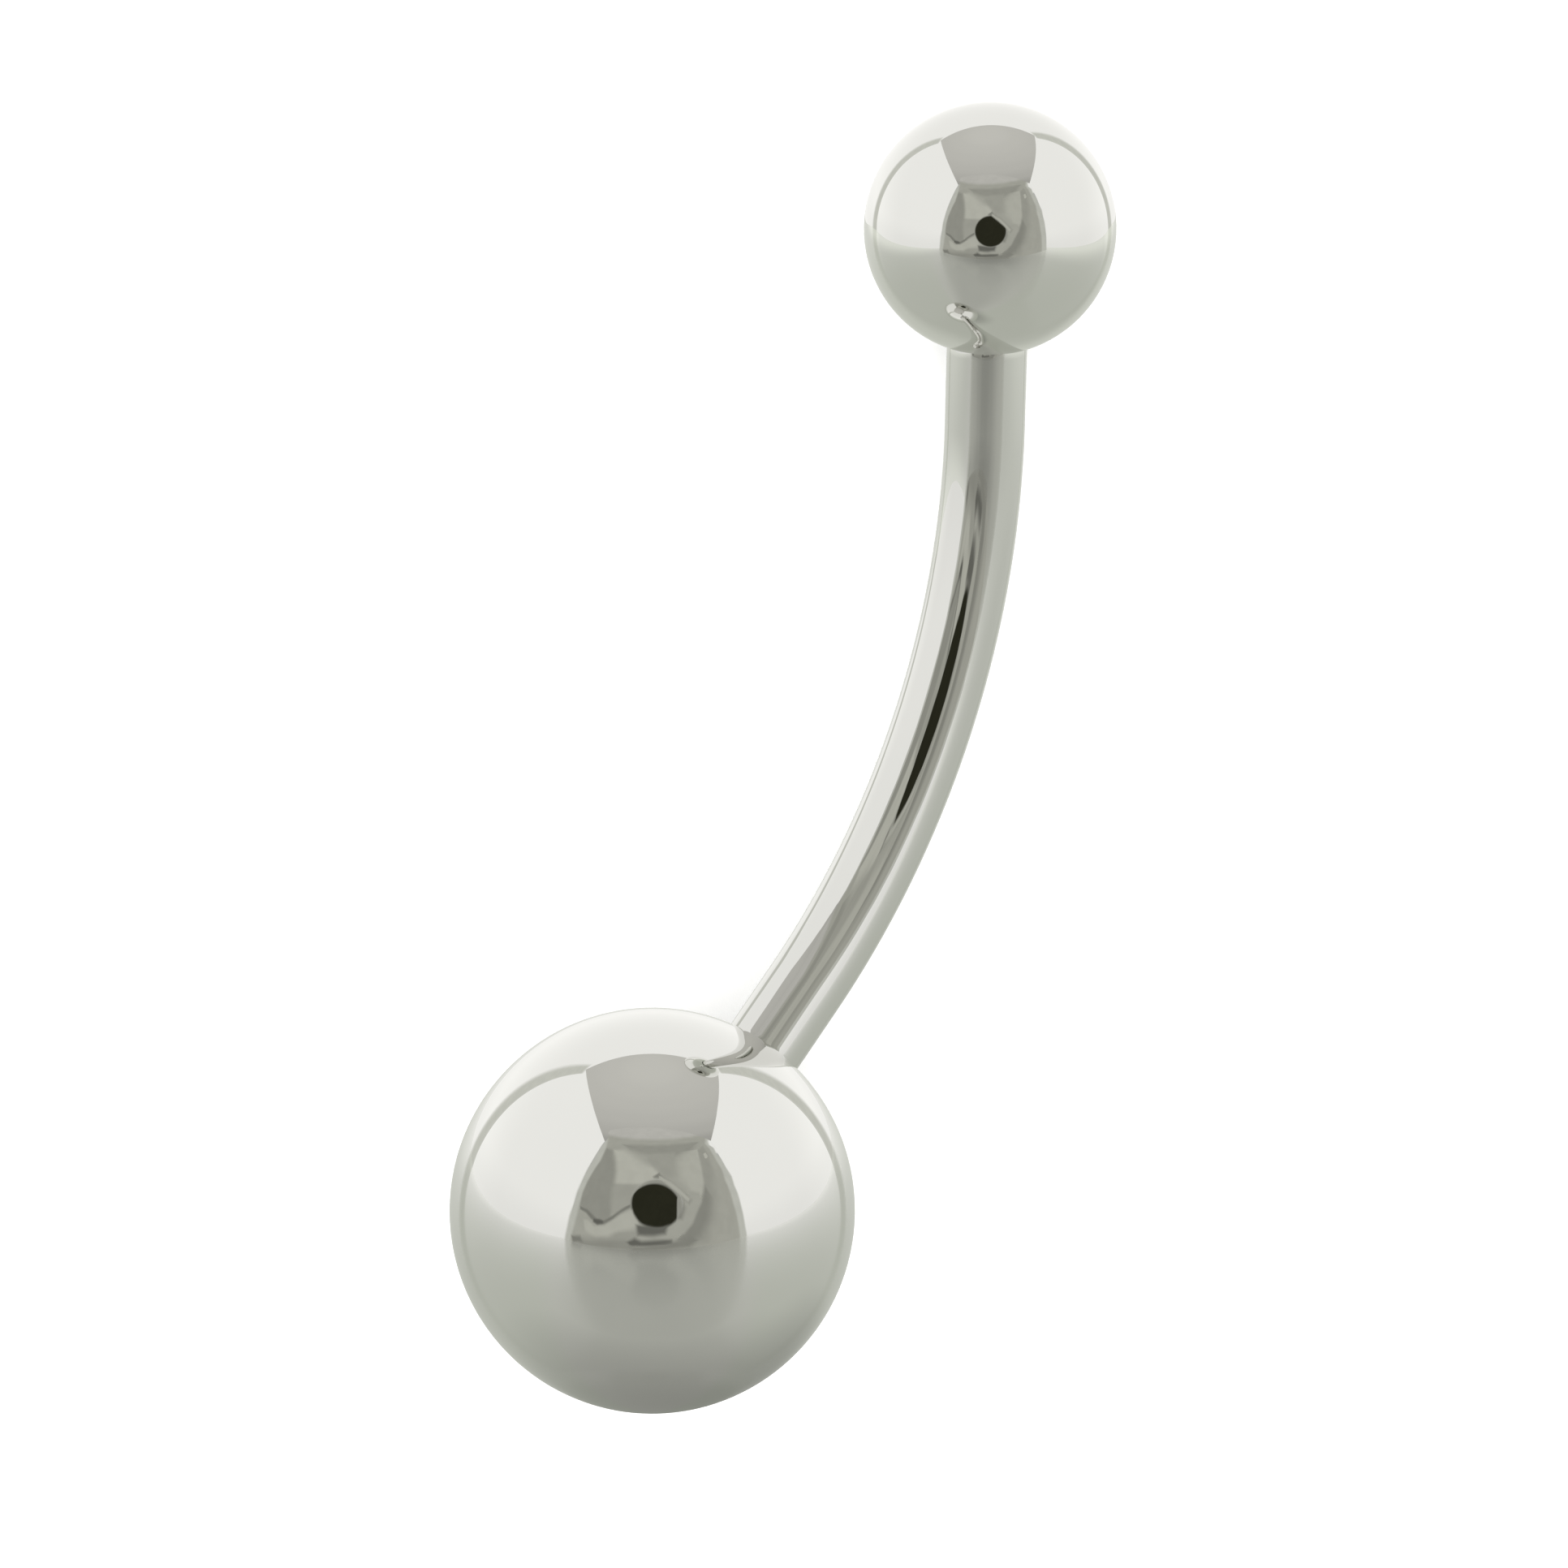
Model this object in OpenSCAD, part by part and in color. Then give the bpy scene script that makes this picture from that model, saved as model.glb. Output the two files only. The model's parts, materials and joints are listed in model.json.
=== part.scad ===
// Navel ring: a curved barbell of polished steel with a small ball on its upper end and a large one on its
// lower end. It lies by itself on a flat surface, at z = 0, on its two balls and on the low point of its bend.
// The origin is the middle of its footprint, and +X runs from the large ball towards the small one.

/* [Bar] */
// Straight distance between the faces of the two balls, which is the length that the ring is sold by
wear_length = 14; // [12:0.5:16]
// Diameter of the wire that the bar is bent from
bar_d = 1.6; // [1.2:0.1:2]
// Radius of the bend, at the middle of the wire
bend_radius = 14.4; // [12:0.1:16]
// Angle that the wire turns through between its straight ends
bend_angle = 48.5; // [36:0.5:54]
// Bevel round the shoulder at each end of the shaft
shoulder_bevel = 0.06; // [0.02:0.01:0.15]

/* [Posts] */
// Diameter of each screw post, over its thread
post_d = 1.2; // [0.8:0.1:1.4]
// Length of each screw post, from the shoulder to its tip
post_length = 2.2; // [1.5:0.1:2.4]
// Bevel round the tip of each post
post_bevel = 0.15; // [0.05:0.05:0.3]

/* [Balls] */
// Diameter of the small ball on the upper end
top_ball_d = 5; // [4:0.5:7]
// Diameter of the large ball on the lower end
bottom_ball_d = 8; // [5:0.5:10]
// Depth of the seat in each ball that the end of the shaft sits in
seat_depth = 0.3; // [0.2:0.05:0.5]
// Depth of the bore that is left empty past the tip of the post
bore_spare = 0.3; // [0.1:0.05:0.5]

/* [Fits] */
// Gap all round between a post and the bore of its ball
post_clearance = 0.03; // [0.02:0.01:0.08]
// Gap round the end of the shaft and under its shoulder
seat_clearance = 0.03; // [0.02:0.01:0.08]

/* [Hidden] */
$fn = 96;
bar_r = bar_d / 2;
post_r = post_d / 2;
top_r = top_ball_d / 2;
bottom_r = bottom_ball_d / 2;
half_bend = bend_angle / 2;
steel = [0.78, 0.78, 0.76];
bright_steel = [0.86, 0.86, 0.84];
// How far a cut runs past the face that it opens
cut_over = 1;
// How many degrees past the middle each half of the bend runs before it is cut there
past_middle = 1;

// The two balls are centred on the straight ends of the bar. The line between their centres is as long as
// the wear length and both radii, and that sets how much of each end stays straight.
centre_gap = wear_length + top_r + bottom_r;
centre_rise = (top_r - bottom_r) * sin(half_bend);
centre_run = sqrt(pow(centre_gap, 2) - pow(centre_rise, 2));
bend_run = 2 * bend_radius * sin(half_bend);
straight_end = (centre_run - bend_run - (top_r + bottom_r) * cos(half_bend)) / (2 * cos(half_bend));
shaft_end = straight_end + seat_depth - seat_clearance;
// Turn from the bar's own level to the line between the two centres
line_turn = atan2(centre_rise, centre_run);

// At rest that line slopes down to the smaller ball, and the bar rolls about it until its bend touches the
// surface. With the middle of the bend at [bend_x, bend_y] from the large ball's centre, along the line and
// across it, the lowest point of the wire touches where
// touch_height - bend_y * drop = bend_radius * sqrt(drop^2 + sin(slope)^2),
// and drop is how much of a step across the line goes straight down. A bend too flat to touch hangs clear,
// straight below the line.
function bottom_centre() = [
    -bend_run / 2 - (straight_end + bottom_r) * cos(half_bend),
    -bend_radius * cos(half_bend) + (straight_end + bottom_r) * sin(half_bend)
];
bend_x = -bottom_centre()[0] * cos(line_turn) - bottom_centre()[1] * sin(line_turn);
bend_y = bottom_centre()[1] * cos(line_turn) - bottom_centre()[0] * sin(line_turn);
slope = asin((bottom_r - top_r) / centre_gap);
touch_height = bottom_r - bar_r - bend_x * sin(slope);
flatness = pow(bend_radius, 2) - pow(bend_y, 2);
lean = touch_height * bend_y;
excess = pow(touch_height, 2) - pow(bend_radius * sin(slope), 2);
drop = (sqrt(pow(lean, 2) + flatness * excess) - lean) / flatness;
roll = asin(min(1, drop / cos(slope)));

// Middle of the footprint, from the large ball's centre
low_x = min(-bottom_r, centre_gap * cos(slope) - top_r);
high_x = max(bottom_r, centre_gap * cos(slope) + top_r);
bend_reach = (bend_radius + bend_y) * cos(roll) + bar_r;
wide_r = max(bottom_r, top_r);
mid_x = (low_x + high_x) / 2;
mid_y = (wide_r - max(wide_r, bend_reach)) / 2;

// Takes the ring from the bar's own level, with the centre of the bend at the origin, to where it lies
module laid_down() {
    translate([-mid_x, -mid_y, bottom_r])
        rotate([roll, slope, 0])
            rotate([0, 0, -line_turn])
                translate([-bottom_centre()[0], -bottom_centre()[1], 0])
                    children();
}

// Stands its children on the end of the bend, with +X outwards along the straight end
module on_top_end() {
    rotate([0, 0, half_bend])
        translate([0, -bend_radius, 0])
            children();
}

module on_bottom_end() {
    mirror([1, 0, 0])
        on_top_end()
            children();
}

// Straight end of the shaft with its bevelled shoulder, and the screw post with its bevelled tip
module end_and_post() {
    tip = shaft_end + post_length;
    rotate([0, 90, 0])
        rotate_extrude()
            polygon([
                [0, 0],
                [bar_r, 0],
                [bar_r, shaft_end - shoulder_bevel],
                [bar_r - shoulder_bevel, shaft_end],
                [post_r, shaft_end],
                [post_r, tip - post_bevel],
                [post_r - post_bevel, tip],
                [0, tip]
            ]);
}

// The bend from the straight end to a little past the middle of the bar
module half_of_bend() {
    translate([0, bend_radius, 0])
        mirror([1, 0, 0])
            rotate([0, 0, -90])
                rotate_extrude(angle = half_bend + past_middle)
                    translate([bend_radius, 0])
                        circle(r = bar_r);
}

// The bar from its middle to the tip of the upper post, cut square at the middle
module half_of_bar() {
    difference() {
        on_top_end() {
            half_of_bend();
            end_and_post();
        }
        translate([-cut_over, -bend_radius - bar_d, -bar_d])
            cube([cut_over, 2 * bar_d, 2 * bar_d]);
    }
}

// A ball centred on the straight end, with a seat for the shaft and a blind bore for the post
module drilled_ball(ball_r) {
    bore_depth = seat_depth + post_length + bore_spare;
    translate([straight_end, 0, 0])
        rotate([0, 90, 0])
            difference() {
                translate([0, 0, ball_r])
                    sphere(r = ball_r);
                translate([0, 0, -cut_over])
                    cylinder(r = bar_r + seat_clearance, h = cut_over + seat_depth);
                translate([0, 0, -cut_over])
                    cylinder(r = post_r + post_clearance, h = cut_over + bore_depth);
            }
}

module curved_bar() {
    color(steel)
        laid_down() {
            half_of_bar();
            mirror([1, 0, 0]) half_of_bar();
        }
}

module top_ball() {
    color(bright_steel)
        laid_down()
            on_top_end()
                drilled_ball(top_r);
}

module bottom_ball() {
    color(bright_steel)
        laid_down()
            on_bottom_end()
                drilled_ball(bottom_r);
}

curved_bar();
top_ball();
bottom_ball();
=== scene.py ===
import json
import math

import bpy
from mathutils import Matrix, Vector


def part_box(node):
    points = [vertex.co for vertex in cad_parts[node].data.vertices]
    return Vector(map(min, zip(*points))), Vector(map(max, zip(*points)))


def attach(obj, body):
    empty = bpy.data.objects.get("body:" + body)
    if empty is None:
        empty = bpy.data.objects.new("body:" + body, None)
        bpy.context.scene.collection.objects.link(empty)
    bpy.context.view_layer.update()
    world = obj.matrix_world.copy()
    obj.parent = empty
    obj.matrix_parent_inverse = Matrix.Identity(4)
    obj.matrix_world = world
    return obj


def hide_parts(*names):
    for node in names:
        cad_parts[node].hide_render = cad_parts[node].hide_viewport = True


# Navel ring: a bent bar of polished steel with a ball screwed onto each end.
# It lies on a pale floor inside a light tent, and the camera looks down on it.
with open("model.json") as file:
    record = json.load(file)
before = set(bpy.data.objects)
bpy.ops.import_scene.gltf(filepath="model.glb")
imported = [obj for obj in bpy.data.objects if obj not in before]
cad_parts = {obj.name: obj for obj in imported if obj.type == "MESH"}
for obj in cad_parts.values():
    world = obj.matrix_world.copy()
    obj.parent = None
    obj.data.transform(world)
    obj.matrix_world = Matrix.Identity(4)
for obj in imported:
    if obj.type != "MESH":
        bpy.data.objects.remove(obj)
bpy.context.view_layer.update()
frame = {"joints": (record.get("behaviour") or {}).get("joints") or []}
mm = 0.001
mergeGap = 0.0005 * mm  # points closer than this become one
cutGap = 0.0001 * mm  # points this close to a cut lie on it
smoothBelow = math.radians(30)  # sharper edges stay sharp
jointAxis = {joint["name"]: Vector(joint["axis"]).normalized() for joint in frame["joints"]}
print("frame loaded")


# Where things lie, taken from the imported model

def boxCentre(node):
    low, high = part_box(node)
    return (low + high) / 2


def boxRadius(node):
    low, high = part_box(node)
    return (high.y - low.y) / 2


topCentre = boxCentre("top_ball")
bottomCentre = boxCentre("bottom_ball")
topRadius = boxRadius("top_ball")
bottomRadius = boxRadius("bottom_ball")
topAxis = jointAxis["top_ball_off"]
bottomAxis = jointAxis["bottom_ball_off"]

barSizes = {
    "wire": 1.6 * mm,  # diameter
    "bend": 14.4 * mm,  # radius of the bend at the middle of the wire
    "around": 96,  # points round the wire
    "bendSteps": 56,  # steps in each half of the bend
    "seatDepth": 0.27 * mm,  # how far the shaft stands inside each ball
    "shoulderRound": 0.06 * mm,
    "roundSteps": 4,
    "neckRing": 0.05 * mm,  # from the neck out to the first ring of points on the shoulder
}

# The bar's own level: the bend's centre at the origin, the bar bulging towards -Y, +X to the small ball
levelX = (topAxis - bottomAxis).normalized()
levelY = (topAxis + bottomAxis).normalized()
levelZ = levelX.cross(levelY)
halfBend = math.asin(topAxis.dot(levelY))
between = topCentre - bottomCentre
along = between.dot(levelX)
straightSum = (along - 2 * barSizes["bend"] * math.sin(halfBend)) / math.cos(halfBend)
straight = (straightSum - topRadius - bottomRadius) / 2
bendEnd = Vector((math.sin(halfBend), -math.cos(halfBend), 0)) * barSizes["bend"]
outwards = Vector((math.cos(halfBend), math.sin(halfBend), 0))
topInLevel = bendEnd + outwards * (straight + topRadius)
levelCentre = topCentre - levelX * topInLevel.x - levelY * topInLevel.y


def axesMatrix(x, y, z, centre):
    matrix = Matrix((x, y, z)).transposed().to_4x4()
    matrix.translation = centre
    return matrix


laidDown = axesMatrix(levelX, levelY, levelZ, levelCentre)
print("straight end", round(straight / mm, 4), "half bend", round(math.degrees(halfBend), 3))


# Modelling helpers

def deselectAll():
    if bpy.context.object and bpy.context.object.mode != "OBJECT":
        bpy.ops.object.mode_set(mode="OBJECT")
    bpy.ops.object.select_all(action="DESELECT")


def makeActive(piece, others=()):
    deselectAll()
    for item in (*others, piece):
        item.select_set(True)
    bpy.context.view_layer.objects.active = piece


def pickPoints(piece, test):
    # selects the points that pass the test, and leaves the piece in edit mode
    makeActive(piece)
    mesh = piece.data
    for polygon in mesh.polygons:
        polygon.select = False
    for edge in mesh.edges:
        edge.select = False
    for vertex in mesh.vertices:
        vertex.select = test(vertex.co)
    bpy.ops.object.mode_set(mode="EDIT")
    bpy.ops.mesh.select_mode(type="VERT")


def cutAt(height, **settings):
    # a level cut; the operator's own threshold is far too wide for a part this small
    bpy.ops.mesh.bisect(plane_co=(0, 0, height), plane_no=(0, 0, 1), threshold=cutGap, **settings)


def extrudeEdges(step):
    bpy.ops.mesh.extrude_edges_move(TRANSFORM_OT_translate={"value": step})


def scaleRing(factor, centre):
    bpy.ops.transform.resize(value=(factor, factor, factor), center_override=centre)


def settle(piece, matrix=None):
    # puts the piece where the matrix says and leaves its object at the origin
    makeActive(piece)
    if matrix is not None:
        piece.matrix_world = matrix
    bpy.ops.object.transform_apply(location=True, rotation=True, scale=True)


def closeMesh(piece):
    pickPoints(piece, lambda co: True)
    bpy.ops.mesh.remove_doubles(threshold=mergeGap)
    bpy.ops.mesh.normals_make_consistent(inside=False)
    bpy.ops.object.mode_set(mode="OBJECT")
    bpy.ops.object.shade_smooth_by_angle(angle=smoothBelow)


def applyModifier(piece, kind, **settings):
    makeActive(piece)
    modifier = piece.modifiers.new(kind.lower(), kind)
    for key, value in settings.items():
        setattr(modifier, key, value)
    bpy.ops.object.modifier_apply(modifier=modifier.name)


# Thread on a post: one turn of the profile, carried up by the screw, cut to length and chamfered

threadSizes = {
    "length": 2.2 * mm,
    "outside": 1.2 * mm,  # diameter over the crests
    "pitch": 0.25 * mm,
    "depth": 0.15 * mm,
    "crest": 0.03 * mm,  # flat on the crest
    "root": 0.045 * mm,  # flat at the root
    "foot": 0.02 * mm,  # how far past the shoulder its own mesh begins
    "runOut": 0.12 * mm,  # plain neck under the shoulder
    "tipBevel": 0.16 * mm,
}
crestRadius = threadSizes["outside"] / 2
rootRadius = crestRadius - threadSizes["depth"]


def cutThread():
    sizes = threadSizes
    flank = (sizes["pitch"] - sizes["crest"] - sizes["root"]) / 2
    deselectAll()
    bpy.ops.mesh.primitive_plane_add(size=mm)
    thread = bpy.context.object
    thread.name = "thread"
    bpy.ops.object.mode_set(mode="EDIT")
    bpy.ops.mesh.select_mode(type="VERT")
    bpy.ops.mesh.select_all(action="SELECT")
    bpy.ops.mesh.merge(type="CENTER")
    bpy.ops.transform.translate(value=(rootRadius, 0, 0))
    for step in (
        (0, sizes["root"]),
        (sizes["depth"], flank),
        (0, sizes["crest"]),
        (-sizes["depth"], flank),
    ):
        bpy.ops.mesh.extrude_vertices_move(TRANSFORM_OT_translate={"value": (step[0], 0, step[1])})
    bpy.ops.object.mode_set(mode="OBJECT")
    turns = math.ceil(sizes["length"] / sizes["pitch"]) + 2
    applyModifier(
        thread, "SCREW", screw_offset=sizes["pitch"], iterations=turns, steps=barSizes["around"],
        render_steps=barSizes["around"], use_merge_vertices=True, merge_threshold=mergeGap,
    )
    pickPoints(thread, lambda co: True)
    bpy.ops.mesh.remove_doubles(threshold=mergeGap)
    cutAt(sizes["pitch"] + sizes["foot"], clear_inner=True)
    bpy.ops.mesh.select_all(action="SELECT")
    cutAt(sizes["pitch"] + sizes["length"], clear_outer=True, use_fill=True)
    bpy.ops.object.mode_set(mode="OBJECT")
    for vertex in thread.data.vertices:
        height = vertex.co.z - sizes["pitch"]
        radius = math.hypot(vertex.co.x, vertex.co.y)
        neckLimit = rootRadius + max(0, height - sizes["runOut"])
        tipLimit = crestRadius - max(0, height - sizes["length"] + sizes["tipBevel"])
        limit = min(neckLimit, tipLimit)
        if radius > limit:
            vertex.co.x *= limit / radius
            vertex.co.y *= limit / radius
        vertex.co.z = height
    return thread


# Half of the bar, from its middle to the tip of one post

shaftEnd = straight + barSizes["seatDepth"]


def bendWire():
    # from the middle to where the shoulder starts to round, with that ring left selected
    sizes = barSizes
    deselectAll()
    bpy.ops.mesh.primitive_circle_add(
        vertices=sizes["around"], radius=sizes["wire"] / 2, location=(0, -sizes["bend"], 0),
        rotation=(0, math.pi / 2, 0),
    )
    half = bpy.context.object
    half.name = "halfBar"
    settle(half)
    pickPoints(half, lambda co: True)
    # with no window the spin turns the other way round
    bpy.ops.mesh.spin(steps=sizes["bendSteps"], angle=-halfBend, center=(0, 0, 0), axis=(0, 0, 1))
    extrudeEdges(outwards * straight)
    extrudeEdges(outwards * (sizes["seatDepth"] - sizes["shoulderRound"]))
    return half


def roundShoulder():
    # goes on from the selected ring, round the shoulder and in to the neck
    roundness = barSizes["shoulderRound"]
    wireRadius = barSizes["wire"] / 2
    place = shaftEnd - roundness
    radius = wireRadius
    for step in range(1, barSizes["roundSteps"] + 1):
        turn = math.pi / 2 * step / barSizes["roundSteps"]
        nextPlace = shaftEnd - roundness + roundness * math.sin(turn)
        nextRadius = wireRadius - roundness + roundness * math.cos(turn)
        extrudeEdges(outwards * (nextPlace - place))
        scaleRing(nextRadius / radius, bendEnd + outwards * nextPlace)
        place, radius = nextPlace, nextRadius
    for nextRadius in (rootRadius + barSizes["neckRing"], rootRadius):
        extrudeEdges((0, 0, 0))
        scaleRing(nextRadius / radius, bendEnd + outwards * shaftEnd)
        radius = nextRadius
    bpy.ops.object.mode_set(mode="OBJECT")


def onNeck(co):
    # the shoulder's inner ring or the thread's first ring, and nothing between or past them
    offset = co - bendEnd
    height = offset.dot(outwards) - shaftEnd
    away = (offset - outwards * offset.dot(outwards)).length
    middle = threadSizes["foot"] / 2
    return abs(height - middle) < middle + cutGap / 2 and away < rootRadius + 4 * mergeGap


def joinThread(half, thread):
    up = Vector((0, 0, 1))
    settle(thread, axesMatrix(up.cross(outwards), up, outwards, bendEnd + outwards * shaftEnd))
    makeActive(half, [thread])
    bpy.ops.object.join()
    pickPoints(half, onNeck)
    bpy.ops.mesh.bridge_edge_loops()
    bpy.ops.object.mode_set(mode="OBJECT")


def straightened(co):
    # the point as it would be before the wire is bent: along, outwards from the bend, and up
    turn = math.atan2(co.x, -co.y)
    if abs(turn) <= halfBend:
        return Vector((barSizes["bend"] * turn, math.hypot(co.x, co.y) - barSizes["bend"], co.z))
    side = 1 if co.x > 0 else -1
    offset = Vector((abs(co.x), co.y, 0)) - bendEnd
    run = offset.dot(outwards)
    across = offset.dot(Vector((outwards.y, -outwards.x, 0)))
    return Vector((side * (barSizes["bend"] * halfBend + run), across, co.z))


def makeBar():
    thread = cutThread()
    half = bendWire()
    roundShoulder()
    joinThread(half, thread)
    makeActive(half)
    bpy.ops.object.duplicate()
    other = bpy.context.object
    settle(other, Matrix.Rotation(math.pi, 4, "Y"))
    makeActive(half, [other])
    bpy.ops.object.join()
    bar = bpy.context.object
    bar.name = "polishedBar"
    bar.data.name = "polishedBar"
    closeMesh(bar)
    before = bar.data.attributes.new("beforeBend", "FLOAT_VECTOR", "POINT")
    for index, vertex in enumerate(bar.data.vertices):
        before.data[index].vector = straightened(vertex.co) / mm
    settle(bar, laidDown)
    return bar


# A ball, drilled from below with a seat for the shaft and a bore for the post

ballSizes = {
    "around": 256,
    "rings": 128,
    "seatRadius": 0.83 * mm,
    "seatDepth": 0.3 * mm,
    "seatCorner": 0.02 * mm,
    "boreRadius": 0.63 * mm,
    "boreBevel": 0.03 * mm,
    "boreDepth": 2.8 * mm,
    "drillPoint": 0.3 * mm,
    "drillTip": 0.02 * mm,
    "lip": 0.05 * mm,  # rounding of the mouth
    "lipSteps": 5,
}


def turnBall(name, radius, centre, axis):
    sizes = ballSizes
    deselectAll()
    bpy.ops.mesh.primitive_uv_sphere_add(
        segments=sizes["around"], ring_count=sizes["rings"], radius=radius,
    )
    ball = bpy.context.object
    ball.name = name
    ball.data.name = name
    mouthRadius = sizes["seatRadius"] + sizes["lip"]
    mouth = -math.sqrt(radius ** 2 - mouthRadius ** 2)
    pickPoints(ball, lambda co: True)
    cutAt(mouth, clear_inner=True)
    bpy.ops.object.mode_set(mode="OBJECT")
    pickPoints(ball, lambda co: abs(co.z - mouth) < 2 * cutGap)
    lean = math.asin(mouthRadius / radius)  # how far the surface slopes at the mouth
    turned = math.pi / 2 - lean
    lip = sizes["lip"] / (1 - math.sin(lean))
    place, ring = mouth, mouthRadius

    def nextRing(newPlace, newRing):
        extrudeEdges((0, 0, newPlace - place))
        scaleRing(newRing / ring, (0, 0, newPlace))
        return newPlace, newRing

    for step in range(1, sizes["lipSteps"] + 1):
        turn = lean + turned * step / sizes["lipSteps"]
        newRing = mouthRadius - lip * (math.sin(turn) - math.sin(lean))
        newPlace = mouth + lip * (math.cos(lean) - math.cos(turn))
        place, ring = nextRing(newPlace, newRing)
    seat = sizes["seatDepth"] - radius
    bottom = sizes["boreDepth"] - radius
    for newPlace, newRing in (
        (seat - sizes["seatCorner"], ring),
        (seat, ring - sizes["seatCorner"]),
        (seat, sizes["boreRadius"] + sizes["boreBevel"]),
        (seat + sizes["boreBevel"], sizes["boreRadius"]),
        (bottom - sizes["drillPoint"], sizes["boreRadius"]),
        (bottom, sizes["drillTip"]),
    ):
        place, ring = nextRing(newPlace, newRing)
    bpy.ops.mesh.merge(type="CENTER")
    bpy.ops.object.mode_set(mode="OBJECT")
    closeMesh(ball)
    side = axis.orthogonal().normalized()
    settle(ball, axesMatrix(side, axis.cross(side), axis, centre))
    return ball


bar = makeBar()
print("bar bent and threaded:", len(bar.data.polygons), "faces")
topBall = turnBall("polishedTopBall", topRadius, topCentre, topAxis)
bottomBall = turnBall("polishedBottomBall", bottomRadius, bottomCentre, bottomAxis)
print("balls turned and drilled:", len(topBall.data.polygons), "faces each")


# Node helpers

def addNode(tree, kind, inputs=None, **settings):
    node = tree.nodes.new(kind)
    for key, value in settings.items():
        setattr(node, key, value)
    for key, value in (inputs or {}).items():
        if isinstance(value, bpy.types.NodeSocket):
            tree.links.new(value, node.inputs[key])
        else:
            node.inputs[key].default_value = value
    return node


def mathNode(tree, operation, first, second=0.0, third=0.0):
    node = addNode(tree, "ShaderNodeMath", {0: first, 1: second, 2: third}, operation=operation)
    return node.outputs[0]


def objectPlace(tree):
    return addNode(tree, "ShaderNodeTexCoord").outputs["Object"]


def fade(tree, value, start, end, low=0.0, high=1.0):
    # runs smoothly from low at start to high at end
    turnedRound = start > end
    if turnedRound:
        start, end, low, high = end, start, high, low
    node = addNode(
        tree, "ShaderNodeMapRange",
        {"Value": value, "From Min": start, "From Max": end, "To Min": low, "To Max": high},
        interpolation_type="SMOOTHSTEP",
    )
    return node.outputs["Result"]


def linear(tone):
    # a screen tone from 0 to 255 as an amount of light
    share = tone / 255
    return share / 12.92 if share <= 0.04045 else ((share + 0.055) / 1.055) ** 2.4


# Polished steel: a mirror with faint haze, hairlines from the polishing wheel and hardly any tint

polishLook = {
    "hazeDetail": 3.0,
    "hazeRoughness": 0.55,
    "hairlineDetail": 2.0,
    "hairlineRoughness": 0.6,
    "hairlines": (0.66, 0.74),  # of the pattern, so that only its peaks show
    "share": 0.5,  # of the haze that comes from the clouds, and from the hairlines
}


def makePolishGroup():
    group = bpy.data.node_groups.new("wheelPolish", "ShaderNodeTree")
    face = group.interface
    face.new_socket(name="Vector", in_out="INPUT", socket_type="NodeSocketVector")
    for name in ("Haze Size", "Hairline Size", "Stretch"):
        socket = face.new_socket(name=name, in_out="INPUT", socket_type="NodeSocketFloat")
        socket.default_value = 1.0
    for name in ("Tone", "Haze", "Height"):
        face.new_socket(name=name, in_out="OUTPUT", socket_type="NodeSocketFloat")
    start = group.nodes.new("NodeGroupInput").outputs
    end = group.nodes.new("NodeGroupOutput")
    cloud = addNode(
        group, "ShaderNodeTexNoise",
        {
            "Vector": start["Vector"], "Scale": start["Haze Size"], "Detail": polishLook["hazeDetail"],
            "Roughness": polishLook["hazeRoughness"],
        },
    )
    squeeze = addNode(group, "ShaderNodeCombineXYZ", {0: start["Stretch"], 1: 1.0, 2: 1.0})
    drawn = addNode(
        group, "ShaderNodeVectorMath", {0: start["Vector"], 1: squeeze.outputs[0]}, operation="MULTIPLY",
    )
    hairline = addNode(
        group, "ShaderNodeTexNoise",
        {
            "Vector": drawn.outputs[0], "Scale": start["Hairline Size"],
            "Detail": polishLook["hairlineDetail"], "Roughness": polishLook["hairlineRoughness"],
        },
    )
    scratch = fade(group, hairline.outputs["Fac"], *polishLook["hairlines"])
    clouded = mathNode(group, "MULTIPLY", cloud.outputs["Fac"], polishLook["share"])
    haze = mathNode(group, "MULTIPLY_ADD", scratch, polishLook["share"], clouded)
    group.links.new(cloud.outputs["Fac"], end.inputs["Tone"])
    group.links.new(haze, end.inputs["Haze"])
    group.links.new(hairline.outputs["Fac"], end.inputs["Height"])
    return group


polishGroup = makePolishGroup()

steelLooks = {
    "barSteel": {
        "bright": (0.800, 0.800, 0.780, 1.0),
        "dull": (0.770, 0.772, 0.750, 1.0),
        "rough": (0.015, 0.050),  # where the haze is least and most
        "hazeSize": 0.35,
        "hairlineSize": 14.0,
        "stretch": 0.03,
        "relief": 0.0006 * mm,  # depth of the hairlines
    },
    "ballSteel": {
        "bright": (0.850, 0.850, 0.830, 1.0),
        "dull": (0.825, 0.827, 0.805, 1.0),
        "rough": (0.012, 0.040),
        "hazeSize": 300.0,
        "hairlineSize": 2500.0,
        "stretch": 0.3,
        "relief": 0.0002 * mm,
    },
}


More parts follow.
